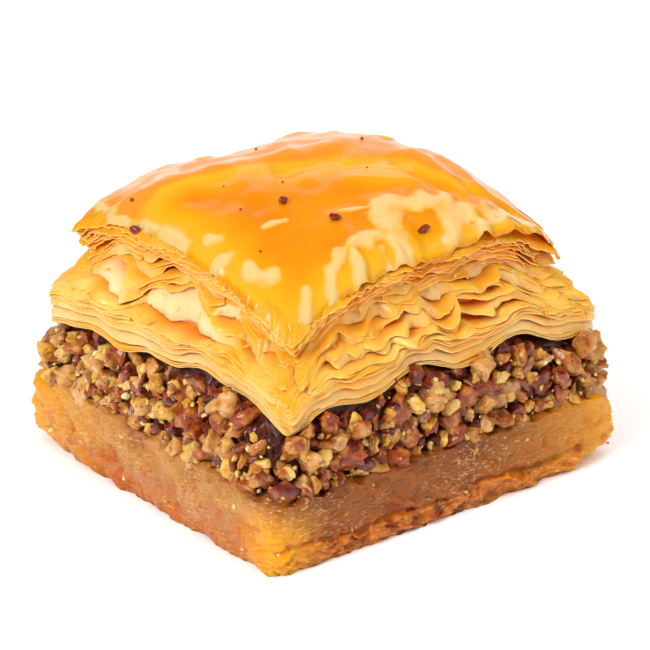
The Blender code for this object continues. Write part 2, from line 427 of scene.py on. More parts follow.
def lay_leaf(number, rings):
    """Points of one leaf's upper surface, ring by ring inwards, resting on the leaves below it."""
    level = levels[number][None, :]
    mean_level = levels[number].mean()
    middle = math.exp(-(((mean_level - 0.48) / 0.22) ** 2))
    upper = smooth_step(0.7, 0.95, mean_level)
    gap = np.zeros(LEAF_AROUND)
    hang = gap
    if number:
        gap = gaps[number - 1] * 12.0 / gaps.sum(axis=0)
        hang = hanging[number - 1]
    droop = hang * np.clip(gap - LEAF, 0.0, None)
    calm = 1.0 - smooth_step(1.0, 3.0, gap)
    flutes = 0.9 * rim_noise(400, 5.6, 3.4, turn + 0.01 * number) + 0.3 * rim_noise(400 + number, 5.0, 2.6, turn)
    pleat = (0.03 + (0.1 + 0.34 * FRONT) * middle) * flutes
    wander = (0.04 + 0.24 * middle + 0.34 * upper) * rim_noise(500 + number, 45.0, 9.0, turn)
    wander = wander - 0.7 * upper * smooth_step(-0.8, -1.0, rim_u) * smooth_step(1.0, 0.8, mean_level)
    wander = wander + 1.1 * upper * smooth_step(0.7, 1.0, np.minimum(rim_u, -rim_v))
    fray = (0.015 + 0.06 * middle + 0.12 * upper) * rim_noise(600 + number, 2.6, 0.9, turn)
    frill = (0.01 + 0.1 * upper) * rim_noise(700 + number, 4.6, 1.6, turn)
    ruffle = (0.03 + 0.15 * middle) * (0.4 + 0.6 * calm) * rim_noise(800 + number, 16.0, 6.0, turn)
    set_in = side_set_in(levels[number]) + wander + fray - 0.12 * np.clip(gap - 0.8, 0.0, 4.0) * hang
    inward = rings[:, None]
    tuck = (0.06 + 0.16 * np.clip(gap, 0.0, 3.0) * hang) * np.clip(1.0 - inward / 0.6, 0.0, None) ** 2
    drop = droop * np.clip(1.0 - inward / (0.45 + 0.4 * gap), 0.0, None) ** 2
    place = set_in + inward + tuck + pleat * np.exp(-inward / 1.2)
    x, y = rim_u * (HALF[0] - place), rim_v * (HALF[1] - place)
    own_u = rim_u * (1.0 - inward / (HALF[0] - set_in))
    own_v = rim_v * (1.0 - inward / (HALF[1] - set_in))
    low, high = hem_surface(own_u, own_v), crown_surface(own_u, own_v)
    z = low + level * (high - low) - drop + (ruffle + frill) * np.exp(-inward / 2.5)
    for i in range(LEAF_AROUND):
        below = np.interp(place[:, i], MEMORY, heap[i])
        z[:, i] = np.maximum(z[:, i], below + LEAF + 0.02)
    lip = 0.5 * np.clip(1.0 - (place - CROWN_SET_IN) / 0.7, 0.0, 1.0) ** 2
    ceiling = high - lip - (LEAVES - number) * (LEAF + 0.02) * (0.5 + 0.5 * smooth_step(0.4, 1.5, inward))
    ceiling = ceiling - UNDER_SHEET * smooth_step(1.0, 3.5, inward)
    z = np.minimum(z, ceiling)
    for i in range(LEAF_AROUND):
        covered = MEMORY >= place[0, i]
        heap[i][covered] = np.maximum(heap[i][covered], np.interp(MEMORY[covered], place[:, i], z[:, i]))
    return np.stack([x - TOP_SKEW * rim_v, y, z], axis=-1)


def leaf_shell(name, leaves, rings):
    """Joins leaves into one mesh, each a closed thin wall, with marks for the finish to read."""
    points, faces = [], []
    marks = {"level": [], "inward": [], "pillow": [], "glaze": []}
    for number, upper in leaves:
        along = np.roll(upper, -1, axis=1) - np.roll(upper, 1, axis=1)
        inward = np.gradient(upper, axis=0)
        normal = np.cross(along, inward)
        normal /= np.linalg.norm(normal, axis=-1, keepdims=True)
        lower = upper - LEAF * normal
        wall = np.concatenate([upper, lower[::-1]])
        start = sum(len(p) for p in points)
        points.append(wall.reshape(-1, 3))
        faces.append(ring_faces(len(wall), LEAF_AROUND, closed=True, start=start))
        marks["level"].append(np.tile(levels[number], 2 * len(rings)))
        marks["inward"].append(np.repeat(np.concatenate([rings, rings[::-1]]), LEAF_AROUND))
        gap = gaps[max(number - 1, 0)] * hanging[max(number - 1, 0)]
        # The pillow mark, partly a painted highlight, is halved on the front face: painted shade for the side that gets
        # less light.
        marks["pillow"].append(np.tile(smooth_step(0.5, 3.0, gap) * (1.0 - 0.5 * FRONT), 2 * len(rings)))
        run = smooth_step(0.5, 1.0, np.minimum(-rim_u, -rim_v)) + 0.7 * smooth_step(0.6, 1.0, np.minimum(-rim_u, rim_v))
        marks["glaze"].append(np.tile(run * smooth_step(0.1, 0.7, levels[number]) * 0.8, 2 * len(rings)))
    marks = {mark: np.concatenate(values) for mark, values in marks.items()}
    return mesh_from(name, np.concatenate(points), np.concatenate(faces), marks)


laid = {}
first = 0
for group, sizes in GROUPS.items():
    laid[group] = [(number, lay_leaf(number, LEAF_RINGS)) for number in range(first, first + len(sizes))]
    first += len(sizes)
print("laid", first, "leaves")

# %% [markdown]
# Two finishes cover the pastry. The leaves of the sides are baked without syrup: matt, with a painted
# cream highlight at their thin rims and a painted warm orange glow deep in the pockets, for light that
# has crossed several leaves. The top sheet is brushed with butter and syrup, so it has a clear gloss
# over amber, and stays pale where air lifts it.

# %% Finish: baked leaf
def baked_leaf():
    """Phyllo baked without syrup: cream pillows that are partly a painted highlight, golden faces, painted cream
    highlights at the rims and a painted deep orange glow in the pockets, all translucent.
    """
    material = bpy.data.materials.new("baked_phyllo")
    material.use_nodes = True
    tree = material.node_tree
    shader = tree.nodes["Principled BSDF"]
    place = add(tree, "ShaderNodeTexCoord").outputs["Object"]
    level = add(tree, "ShaderNodeAttribute", attribute_name="level").outputs["Fac"]
    inward = add(tree, "ShaderNodeAttribute", attribute_name="inward").outputs["Fac"]
    pillow = add(tree, "ShaderNodeAttribute", attribute_name="pillow").outputs["Fac"]
    glaze = add(tree, "ShaderNodeAttribute", attribute_name="glaze").outputs["Fac"]
    patches = add(tree, "ShaderNodeTexNoise", {"Vector": place, "Scale": cells(4.4), "Detail": 3.0}).outputs["Fac"]
    fine = add(tree, "ShaderNodeTexNoise", {"Vector": place, "Scale": cells(0.38), "Detail": 4.0}).outputs["Fac"]
    by_level = ((0.0, "#E4A65C"), (0.16, "#F2B262"), (0.3, "#FFC462"), (0.62, "#FFB43A"), (0.82, "#FF9A18"))
    face = add(tree, "ShaderNodeValToRGB", {"Fac": level}, by_level).outputs[0]
    toast = add(tree, "ShaderNodeMapRange", {"Value": patches, "From Min": 0.4, "From Max": 0.64}).outputs[0]
    golden = add(tree, "ShaderNodeMix", {0: toast, 6: face, 7: linear("#FFA41C")}, data_type="RGBA").outputs[2]
    # Partly a painted highlight: where a leaf hangs over a closed pocket it turns cream, its own paler puffed colour
    # with a painted highlight on the bulge.
    pale = add(tree, "ShaderNodeMath", {0: pillow, 1: 0.8}, operation="MULTIPLY").outputs[0]
    cream = add(tree, "ShaderNodeMix", {0: pale, 6: golden, 7: linear("#FFD8A4")}, data_type="RGBA").outputs[2]
    # Painted glow: from 0.7 mm to 2.4 mm in from the rim the colour turns deep orange, for light that has crossed
    # several leaves.
    depth = add(tree, "ShaderNodeMapRange", {"Value": inward, "From Min": 0.7, "From Max": 2.4}).outputs[0]
    deep = add(tree, "ShaderNodeMix", {0: depth, 6: cream, 7: linear("#EE7E04")}, data_type="RGBA").outputs[2]
    wet = add(tree, "ShaderNodeMix", {0: glaze, 6: deep, 7: linear("#FB9E14")}, data_type="RGBA").outputs[2]
    # Painted highlight: in the last 0.12 mm of every rim the colour is mixed towards cream.
    edge = add(tree, "ShaderNodeMapRange", {"Value": inward, "From Min": 0.12, "From Max": 0.0, "To Max": 0.6}).outputs[0]
    rim = add(tree, "ShaderNodeMix", {0: edge, 6: wet, 7: linear("#FFD284")}, data_type="RGBA").outputs[2]
    tree.links.new(rim, shader.inputs["Base Color"])
    bump = add(tree, "ShaderNodeBump", {"Height": fine, "Strength": 0.5, "Distance": 0.00012})
    tree.links.new(bump.outputs[0], shader.inputs["Normal"])
    shader.inputs["Roughness"].default_value = 0.36
    shader.inputs["Specular IOR Level"].default_value = 0.35
    shader.inputs["Subsurface Weight"].default_value = 0.65
    shader.inputs["Subsurface Radius"].default_value = (1.0, 0.6, 0.25)
    shader.inputs["Subsurface Scale"].default_value = 0.00035
    shader.inputs["Coat Weight"].default_value = 0.3
    shader.inputs["Coat Roughness"].default_value = 0.15
    return material


BAKED = baked_leaf()

# %% [markdown]
# Each group of leaves is one piece. The laid sheets are smooth, so a geometry tree crinkles them: it
# moves every point by a fine noise, most at the rim and not at all deep inside. Both faces of a leaf
# read nearly the same noise, so the leaf keeps its thickness.

# %% Crinkle tree
def crinkle_tree():
    """Moves points by a noise that fades inwards from the rim."""
    sizes = (
        ("Height", "NodeSocketFloat", 0.0001),
        ("Size", "NodeSocketFloat", 0.001),
        ("Fade", "NodeSocketFloat", 3.0),
        ("Seed", "NodeSocketFloat", 1.0),
        ("Material", "NodeSocketMaterial", None),
    )
    tree, given = new_tree("crinkle", sizes)
    inward = add(tree, "GeometryNodeInputNamedAttribute", {"Name": "inward"}, data_type="FLOAT").outputs[0]
    pace = add(tree, "ShaderNodeMath", {0: 1.0, 1: given["Size"]}, operation="DIVIDE").outputs[0]
    where = add(tree, "GeometryNodeInputPosition").outputs[0]
    noise = add(
        tree,
        "ShaderNodeTexNoise",
        {"Vector": where, "W": given["Seed"], "Scale": pace, "Detail": 2.0},
        noise_dimensions="4D",
    ).outputs["Color"]
    swing = add(tree, "ShaderNodeVectorMath", {0: noise, 1: (0.5, 0.5, 0.5)}, operation="SUBTRACT").outputs[0]
    share = add(tree, "ShaderNodeMath", {0: inward, 1: given["Fade"]}, operation="DIVIDE").outputs[0]
    kept = add(tree, "ShaderNodeMath", {0: 1.0, 1: share}, operation="SUBTRACT", use_clamp=True).outputs[0]
    height = add(tree, "ShaderNodeMath", {0: given["Height"], 1: kept}, operation="MULTIPLY").outputs[0]
    offset = add(tree, "ShaderNodeVectorMath", {0: swing, "Scale": height}, operation="SCALE").outputs[0]
    moved = add(tree, "GeometryNodeSetPosition", {"Geometry": given["Geometry"], "Offset": offset}).outputs[0]
    close_tree(tree, moved, given["Material"])
    return tree


CRINKLE = crinkle_tree()

# %% Hem, middle and upper leaves
CRINKLES = {"hem_leaves": (0.3, 2.4), "middle_leaves": (0.5, 2.2), "upper_leaves": (0.4, 1.5)}
for group, (height, size) in CRINKLES.items():
    shell = leaf_shell(group, laid[group], LEAF_RINGS)
    values = {"Height": height * MM, "Size": size * MM, "Fade": 3.0, "Seed": 7.0, "Material": BAKED}
    settle(run_tree(group, shell, CRINKLE, values), "baked_leaves")

# %% [markdown]
# Behind the rims the real piece is full of more leaves that nobody sees. A plain core in warm orange
# stands for them: it stops the light, and its orange is a painted glow at the back of a pocket.

# %% Core behind the leaves
CORE_INSET = 3.0


def leaf_core():
    """A closed solid under the crown that backs the leaves all the way round."""
    _, u, v = cut_rim(240, 12.0)
    rings = []
    for level, share in ((0.02, 0.3), (0.02, 0.8), (0.03, 1.0), (0.25, 1.0), (0.5, 1.0), (0.75, 1.0), (0.9, 1.0)):
        set_in = side_set_in(level) + CORE_INSET
        high = crown_surface(u * 0.8, v * 0.8)
        low = hem_surface(u * 0.8, v * 0.8)
        x, y = share * u * (HALF[0] - set_in), share * v * (HALF[1] - set_in)
        rings.append(np.stack([x - TOP_SKEW * v * share, y, low + level * (high - low)], axis=-1))
    for share in (0.8, 0.5, 0.25):
        set_in = side_set_in(0.95) + CORE_INSET
        x, y = share * u * (HALF[0] - set_in), share * v * (HALF[1] - set_in)
        high = crown_surface(u * share * 0.75, v * share * 0.75) - 1.8
        rings.append(np.stack([x - TOP_SKEW * v * share, y, high], axis=-1))
    rings = np.array(rings)
    # An inward mark of 9 gives the whole core the pockets' painted deep orange glow.
    marks = {"level": np.full(rings.shape[:2], 0.5), "inward": np.full(rings.shape[:2], 9.0)}
    return loft_mesh("leaf_core", rings, marks)


settle(plain_object("leaf_core", leaf_core(), BAKED), "baked_leaves")

# %% [markdown]
# The top sheet is one leaf over the whole crown. Its relief is a few plain features: blisters where the
# sheet stands off the syrup below, folds that run up from the front edge, a shallow dish near the
# summit and a long swell towards the far corner. The blister field is kept as a mark on each point, so
# the finish turns pale exactly where the sheet is lifted.

# %% Finish: glazed top
def glazed_top():
    """Phyllo under butter and syrup: amber and glossy, pale and drier on the blisters, with a painted sheen towards the
    back.
    """
    material = bpy.data.materials.new("glazed_phyllo")
    material.use_nodes = True
    tree = material.node_tree
    shader = tree.nodes["Principled BSDF"]
    place = add(tree, "ShaderNodeTexCoord").outputs["Object"]
    blister = add(tree, "ShaderNodeAttribute", attribute_name="blister").outputs["Fac"]
    tone_and_sheen = add(tree, "ShaderNodeAttribute", attribute_name="tone_and_sheen").outputs["Fac"]
    broad = add(tree, "ShaderNodeTexNoise", {"Vector": place, "Scale": cells(4.5), "Detail": 3.0}).outputs["Fac"]
    fine = add(tree, "ShaderNodeTexNoise", {"Vector": place, "Scale": cells(0.9), "Detail": 4.0}).outputs["Fac"]
    # The mark read here moves the colour along the amber ramp. Its high end, reached towards the back, is the peach of
    # a painted sheen; the mark also rises on the crown's waves and falls in its dips.
    mottled = add(tree, "ShaderNodeMath", {0: broad, 1: 0.3, 2: tone_and_sheen}, operation="MULTIPLY_ADD").outputs[0]
    ambers = ((0.08, "#D67A00"), (0.22, "#E68C00"), (0.45, "#ECA010"), (0.56, "#EEA220"), (0.7, "#EC8820"), (0.9, "#EE9030"))
    amber = add(tree, "ShaderNodeValToRGB", {"Fac": mottled}, ambers).outputs[0]
    ragged = add(tree, "ShaderNodeMath", {0: fine, 1: 0.35, 2: blister}, operation="MULTIPLY_ADD").outputs[0]
    lifted = add(tree, "ShaderNodeMapRange", {"Value": ragged, "From Min": 0.34, "From Max": 0.5}).outputs[0]
    creams = ((0.4, "#E89E2C"), (0.6, "#EAAA50"), (0.82, "#EEB874"))
    cream = add(tree, "ShaderNodeValToRGB", {"Fac": ragged}, creams).outputs[0]
    skin = add(tree, "ShaderNodeMix", {0: lifted, 6: amber, 7: cream}, data_type="RGBA").outputs[2]
    tree.links.new(skin, shader.inputs["Base Color"])
    bump = add(tree, "ShaderNodeBump", {"Height": fine, "Strength": 0.12, "Distance": 0.0002})
    tree.links.new(bump.outputs[0], shader.inputs["Normal"])
    shader.inputs["Roughness"].default_value = 0.35
    shader.inputs["Specular IOR Level"].default_value = 0.15
    shader.inputs["Subsurface Weight"].default_value = 0.4
    shader.inputs["Subsurface Radius"].default_value = (1.0, 0.5, 0.12)
    shader.inputs["Subsurface Scale"].default_value = 0.001
    shader.inputs["Coat Weight"].default_value = 0.5
    shader.inputs["Coat Roughness"].default_value = 0.12
    shader.inputs["Coat IOR"].default_value = 1.45
    return material


# %% Lay the top sheet
SHEET_RINGS = np.concatenate([[0.0, 0.06, 0.14, 0.26], np.linspace(0.4, 9.0, 52), np.linspace(9.25, 17.4, 32)])
# Blisters: from (x, y) to (x, y) on the top and half width, in mm.
BLISTERS = (
    (0.5, -9.5, -1.0, -13.0, 1.4),
    (-1.0, -13.0, -2.5, -17.5, 1.2),
    (0.5, -10.0, 8.0, -11.5, 1.3),
    (8.0, -12.0, 5.0, -16.5, 1.2),
    (-3.0, -13.5, -7.0, -13.5, 0.8),
    (-7.0, -13.5, -10.5, -15.0, 0.7),
    (-10.5, -15.0, -12.5, -17.5, 0.7),
    (-7.0, -14.0, -8.5, -17.5, 0.8),
    (-3.5, -15.0, -4.5, -17.5, 0.5),
    (-14.0, -15.0, -15.5, -17.0, 0.6),
    (9.0, -13.0, 8.5, -17.0, 1.1),
    (11.0, -15.0, 20.0, -17.0, 1.6),
    (-17.0, -9.0, -15.5, -11.0, 1.1),
    (-17.0, -2.5, -16.5, -3.5, 0.7),
    (-17.0, -6.0, -18.5, -5.5, 0.7),
    (-20.0, 11.5, -19.0, 4.5, 0.5),
    (-19.0, 3.5, -18.5, -0.5, 0.8),
    (-18.5, 16.0, -19.5, 12.0, 0.6),
    (-12.5, -6.0, -10.0, -6.5, 0.35),
    (-4.0, -8.5, 0.5, -9.5, 0.3),
    (12.0, 8.0, 16.0, 3.0, 0.9),
    (-6.0, 14.0, 3.0, 15.5, 0.9),
    (14.0, 13.0, 11.0, 15.5, 0.9),
)
# Folds that run in from the front edge: place along it, slant, half width and height, in mm.
FOLDS = (
    (-10.5, 0.3, 0.7, 0.2),
    (-8.0, 0.35, 0.7, 0.4),
    (-5.5, 0.35, 0.6, 0.4),
    (-3.0, 0.4, 0.8, 0.5),
    (-0.5, 0.35, 0.8, 0.45),
    (4.5, 0.5, 0.7, 0.4),
    (8.5, 0.4, 0.8, 0.6),
    (12.5, 0.2, 0.9, 0.5),
    (16.5, 0.1, 0.9, 0.4),
)
def blister_field(x, y):
    """1 on a blister and 0 off it, with soft uneven sides."""
    field = 0.0
    for *ends, width in BLISTERS:
        away = stroke(x, y, *ends) + 0.35 * width * plane_noise(41, 1.6, x, y)
        field = np.maximum(field, 0.65 * smooth_step(1.8 * width, 0.2 * width, away))
    return field


def fold_field(x, y):
    """Height of the folds of the front edge, which fade out towards the middle."""
    from_edge = y + HALF[1] - CROWN_SET_IN
    height = 0.0
    for place, slant, width, rise in FOLDS:
        away = (x - place - slant * from_edge) / width
        height = height + rise * np.exp(-(away**2)) * smooth_step(6.5, 0.5, from_edge)
    return height


def top_sheet():
    """The top sheet's upper surface as rings from the rim to the middle, with its blister mark."""
    _, rim_u, rim_v = cut_rim(LEAF_AROUND, 16.0)
    inward = SHEET_RINGS[:, None]
    wander = 0.25 * rim_noise(525, 45.0, 9.0, turn) * np.exp(-inward / 3.0)
    fray = 0.09 * rim_noise(625, 2.6, 0.9, turn) * np.exp(-inward / 0.4)
    frill = 0.07 * rim_noise(725, 5.0, 1.8, turn)
    set_in = CROWN_SET_IN + wander + fray + 0.6 * smooth_step(0.75, 1.0, np.minimum(rim_u, -rim_v))
    own_u = rim_u * (1.0 - inward / (HALF[0] - CROWN_SET_IN))
    own_v = rim_v * (1.0 - inward / (HALF[1] - CROWN_SET_IN))
    x = rim_u * (HALF[0] - set_in - inward) - TOP_SKEW * own_v
    y = rim_v * (HALF[1] - set_in - inward)
    z = crown_surface(own_u, own_v) + LEAF + frill * np.exp(-inward / 1.0)
    z = z - 0.5 * np.clip(1.0 - inward / 0.7, 0.0, None) ** 2
    blister = blister_field(x, y)
    tongue = smooth_step(3.0, 10.0, x)
    lift = 0.85 * tongue * np.exp(-((y + HALF[1] - CROWN_SET_IN) / 3.0)) * smooth_step(0.0, -8.0, y)
    relief = 0.45 * blister + fold_field(x, y) + lift
    small = 0.12 * plane_noise(42, 6.0, x, y) + 0.07 * plane_noise(43, 2.4, x, y)
    relief = relief + smooth_step(0.0, 2.0, inward) * small
    # Painted sheen: far grows towards the back of the crown and moves the colour there to peach, for the glaze
    # reflecting its surroundings at a grazing angle. The colour also follows the crown's waves, up on rises and down in
    # dips.
    far = smooth_step(-6.0, 4.0, y + 0.6 * x)
    tone_and_sheen = 0.55 * smooth_step(5.5, 0.5, inward + 0.0 * x) - 0.5 * smooth_step(0.5, 0.1, inward) + 0.85 * far + 0.5 * np.clip(wave_field(x, y), -0.4, 0.5)
    return np.stack([x, y, z + relief - 0.2 * smooth_step(0.0, 3.0, inward)], axis=-1), blister, 0.7 * np.clip(tone_and_sheen, -0.1, 1.0)


def sheet_mesh():
    """The top sheet as a closed solid: its surface over a shallow underside."""
    upper, blister, tone_and_sheen = top_sheet()
    lower = upper[:12].copy()
    lower[..., 2] -= LEAF * 1.2
    rings = np.concatenate([lower[::-1], upper])
    marks = {
        "blister": np.concatenate([blister[:12][::-1] * 0.0, blister]),
        "tone_and_sheen": np.concatenate([tone_and_sheen[:12][::-1], tone_and_sheen]),
    }
    return loft_mesh("top_sheet", rings, marks)


GLAZED = glazed_top()
settle(plain_object("top_sheet", sheet_mesh(), GLAZED), "baked_leaves", "top_pastry")

# %% [markdown]
# The soaked base is a stack of leaves that syrup and weight have pressed into one jelly-like slab. It
# is one loft: upright sides that lean in a little, an eased foot that lifts at the two outer corners,
# and a shallow groove along the front where the lowest leaves have come away from the rest.

# %% Finish: soaked pastry
def soaked_pastry():
    """Syrup-soaked leaves: a translucent wet jelly, amber to caramel, with pale grains that are both sugary specks and
    painted glints of light.
    """
    material = bpy.data.materials.new("soaked_phyllo")
    material.use_nodes = True
    tree = material.node_tree
    shader = tree.nodes["Principled BSDF"]
    place = add(tree, "ShaderNodeTexCoord").outputs["Object"]
    foot = add(tree, "ShaderNodeAttribute", attribute_name="foot").outputs["Fac"]
    glow = add(tree, "ShaderNodeAttribute", attribute_name="glow").outputs["Fac"]
    front = add(tree, "ShaderNodeAttribute", attribute_name="front").outputs["Fac"]
    height = add(tree, "ShaderNodeAttribute", attribute_name="height").outputs["Fac"]
    soft = add(tree, "ShaderNodeTexNoise", {"Vector": place, "Scale": cells(6.2), "Detail": 3.0}).outputs["Fac"]
    lumps = add(tree, "ShaderNodeTexNoise", {"Vector": place, "Scale": cells(1.9), "Detail": 4.0}).outputs["Fac"]
    pressed = add(tree, "ShaderNodeMapping", {"Vector": place, "Scale": (1.0, 1.0, 2.6)}).outputs[0]
    fine = add(tree, "ShaderNodeTexNoise", {"Vector": pressed, "Scale": cells(0.62), "Detail": 4.0}).outputs["Fac"]
    wavy = add(tree, "ShaderNodeMath", {0: soft, 1: 0.7, 2: height}, operation="MULTIPLY_ADD").outputs[0]
    left_tones = ((0.28, "#BC5E0C"), (0.42, "#C2702A"), (0.58, "#BC7A46"), (0.72, "#C48A44"), (0.86, "#AE7038"), (1.0, "#905024"))
    left = add(tree, "ShaderNodeValToRGB", {"Fac": wavy}, left_tones).outputs[0]
    # Painted shade: faces marked front take these darker tones instead of the left ones, for the side that gets less
    # light.
    shaded_right_tones = ((0.3, "#944204"), (0.5, "#944A08"), (0.72, "#985414"), (1.0, "#74340C"))
    right = add(tree, "ShaderNodeValToRGB", {"Fac": wavy}, shaded_right_tones).outputs[0]
    slab = add(tree, "ShaderNodeMix", {0: front, 6: left, 7: right}, data_type="RGBA").outputs[2]
    caramels = ((0.36, "#7A2E00"), (0.46, "#B05406"), (0.56, "#D47C1C"), (0.68, "#E8A044"))
    under = add(tree, "ShaderNodeValToRGB", {"Fac": lumps}, caramels).outputs[0]
    low = add(tree, "ShaderNodeMix", {0: foot, 6: slab, 7: under}, data_type="RGBA").outputs[2]
    # Painted glow: where marked, the colour turns bright orange for light that shines through the thin corners.
    warm = add(tree, "ShaderNodeMix", {0: glow, 6: low, 7: linear("#ECA018")}, data_type="RGBA").outputs[2]
    bits = add(tree, "ShaderNodeMapRange", {"Value": lumps, "From Min": 0.54, "From Max": 0.64, "To Max": 0.8}).outputs[0]
    lower = add(tree, "ShaderNodeMapRange", {"Value": height, "From Min": 0.5, "From Max": 0.2}).outputs[0]
    spots = add(tree, "ShaderNodeMath", {0: bits, 1: lower}, operation="MULTIPLY").outputs[0]
    spotted = add(tree, "ShaderNodeMix", {0: spots, 6: warm, 7: linear("#B85404")}, data_type="RGBA").outputs[2]
    # Partly a painted highlight: where a fine noise, stretched along the layers, peaks, the colour is mixed towards
    # pale cream, for sugary grains and for glints of light on them.
    catch = add(tree, "ShaderNodeMath", {0: soft, 1: 0.35, 2: fine}, operation="MULTIPLY_ADD").outputs[0]
    grains_and_glints = add(tree, "ShaderNodeMapRange", {"Value": catch, "From Min": 0.76, "From Max": 0.88, "To Max": 0.5}).outputs[0]
    skin = add(tree, "ShaderNodeMix", {0: grains_and_glints, 6: spotted, 7: linear("#F0C080")}, data_type="RGBA").outputs[2]
    tree.links.new(skin, shader.inputs["Base Color"])
    rough = add(tree, "ShaderNodeMath", {0: fine, 1: 0.4, 2: lumps}, operation="MULTIPLY_ADD").outputs[0]
    bump = add(tree, "ShaderNodeBump", {"Height": rough, "Strength": 0.8, "Distance": 0.0005})
    tree.links.new(bump.outputs[0], shader.inputs["Normal"])
    shader.inputs["Roughness"].default_value = 0.32
    shader.inputs["Specular IOR Level"].default_value = 0.25
    shader.inputs["Subsurface Weight"].default_value = 0.7
    shader.inputs["Subsurface Radius"].default_value = (1.0, 0.5, 0.15)
    shader.inputs["Subsurface Scale"].default_value = 0.002
    shader.inputs["Coat Weight"].default_value = 0.2
    shader.inputs["Coat Roughness"].default_value = 0.12
    return material


# %% Soaked base
BASE_AROUND = 640
BASE_LEVELS = np.concatenate([[0.0], np.linspace(0.02, 0.9, 50), [0.92, 0.94, 0.96, 0.98, 0.992, 1.0]])
BASE_FOOT_LIFT = 2.9
BASE_GROOVE = 0.31


def soaked_base():
    """The slab as a closed solid, marked with its foot, its front faces for painted shade and the thin corners for a
    painted glow.
    """
    base_turn, u, v = cut_rim(BASE_AROUND, 34.0)
    outer = np.maximum(0.0, -u * v) ** 6
    glowing = np.maximum(0.0, -u * v) ** 2.2
    near = smooth_step(0.66, 1.0, np.minimum(-u, -v))
    front = np.maximum(smooth_step(-0.85, -1.0, v), smooth_step(0.85, 1.0, u))
    loose = smooth_step(-0.9, -1.0, v) * smooth_step(0.9, 0.75, u)
    rings = []
    marks = {"foot": [], "glow": [], "front": [], "height": [], "inward": []}
    for level in BASE_LEVELS:
        lift = (0.5 + 0.12 * rim_noise(50, 12.0, 3.0, base_turn) + BASE_FOOT_LIFT * outer)
        foot = lift * max(0.0, 1.0 - level / 0.34) ** 2
        shoulder = 0.75 * max(0.0, (level - 0.9) / 0.1) ** 2
        groove = BASE_GROOVE + 0.05 * rim_noise(51, 60.0, 12.0, base_turn)
        cut = 0.5 * loose * np.exp(-(((level - groove) / 0.035) ** 2))
        below = smooth_step(0.02, -0.05, level - groove)
        torn = math.tau * level * BASE_TOP / 1.3 + 2.2 * rim_noise(52, 24.0, 3.0, base_turn)
        rough = below * loose * (0.16 * np.sin(torn) + 0.1 * rim_noise(57, 5.0, 1.6, base_turn + 0.6 * level))
        sheets = 0.03 * np.sin(math.tau * level * BASE_TOP / 0.62 + 2.0 * rim_noise(53, 30.0, 5.0, base_turn))
        lumps = 0.14 * rim_noise(54, 20.0, 4.0, base_turn + 0.3 * level) + 0.06 * rim_noise(55, 3.0, 1.2, base_turn - level)
        set_in = foot + shoulder + 0.6 * level**2 + 0.3 + cut + rough + sheets + lumps - 0.12 * below * loose
        top_dip = 0.4 * rim_noise(56, 12.0, 3.0, base_turn) * smooth_step(0.9, 1.0, level)
        z = level * BASE_TOP + 0.0 * u - 0.3 * smooth_step(0.9, 1.0, level) + top_dip
        rings.append(np.stack([u * (HALF[0] - set_in), v * (HALF[1] - set_in), z], axis=-1))
        marks["foot"].append(below * loose)
        # Painted glow: the near corner and the two outer corners are marked most strongly in their lower part, to be
        # painted bright orange for light shining through.
        marks["glow"].append(near * smooth_step(1.05, 0.5, level) + glowing * smooth_step(1.4, 0.8, level))
        marks["inward"].append(3.0 * smooth_step(0.06, 0.0, level) + 0.0 * u)
        marks["front"].append(front)
        marks["height"].append(0.62 * level - 0.05 + 0.0 * u)
    for share in (0.94, 0.8, 0.6, 0.4, 0.2):
        rings.append(rings[len(BASE_LEVELS) - 1] * (share, share, 1.0))
    rings = [rings[0] * (share, share, 1.0) for share in (0.2, 0.4, 0.6, 0.8, 0.95)] + rings
    marks = {mark: np.array([rows[0]] * 5 + rows + [rows[-1]] * 5) for mark, rows in marks.items()}
    return loft_mesh("soaked_base", np.array(rings), marks)


SOAKED = soaked_pastry()
values = {"Height": 1.3 * MM, "Size": 1.4 * MM, "Fade": 3.0, "Seed": 2.0, "Material": SOAKED}
settle(run_tree("soaked_base", soaked_base(), CRINKLE, values), "soaked_pastry", "base_pastry")

# %% [markdown]
# The filling is coarse chopped walnut bound with syrup. A dark core stands for the nuts deeper in, and
# kinds of pieces are scattered over its sides by one geometry tree: pale flesh, brown skinned halves,
# glossy dark pieces and small crumbs. Each kind has a few shapes, which the tree turns and sizes at
# random. A mark on each point says how deep it lies in a wrinkle, so the finish can paint shade there.

# %% Finish: nuts
# Nuts are painted paler towards this end of the filling, the side the key lamp lights.
LIT_END = (-math.sqrt(0.5), math.sqrt(0.5), 0.0)


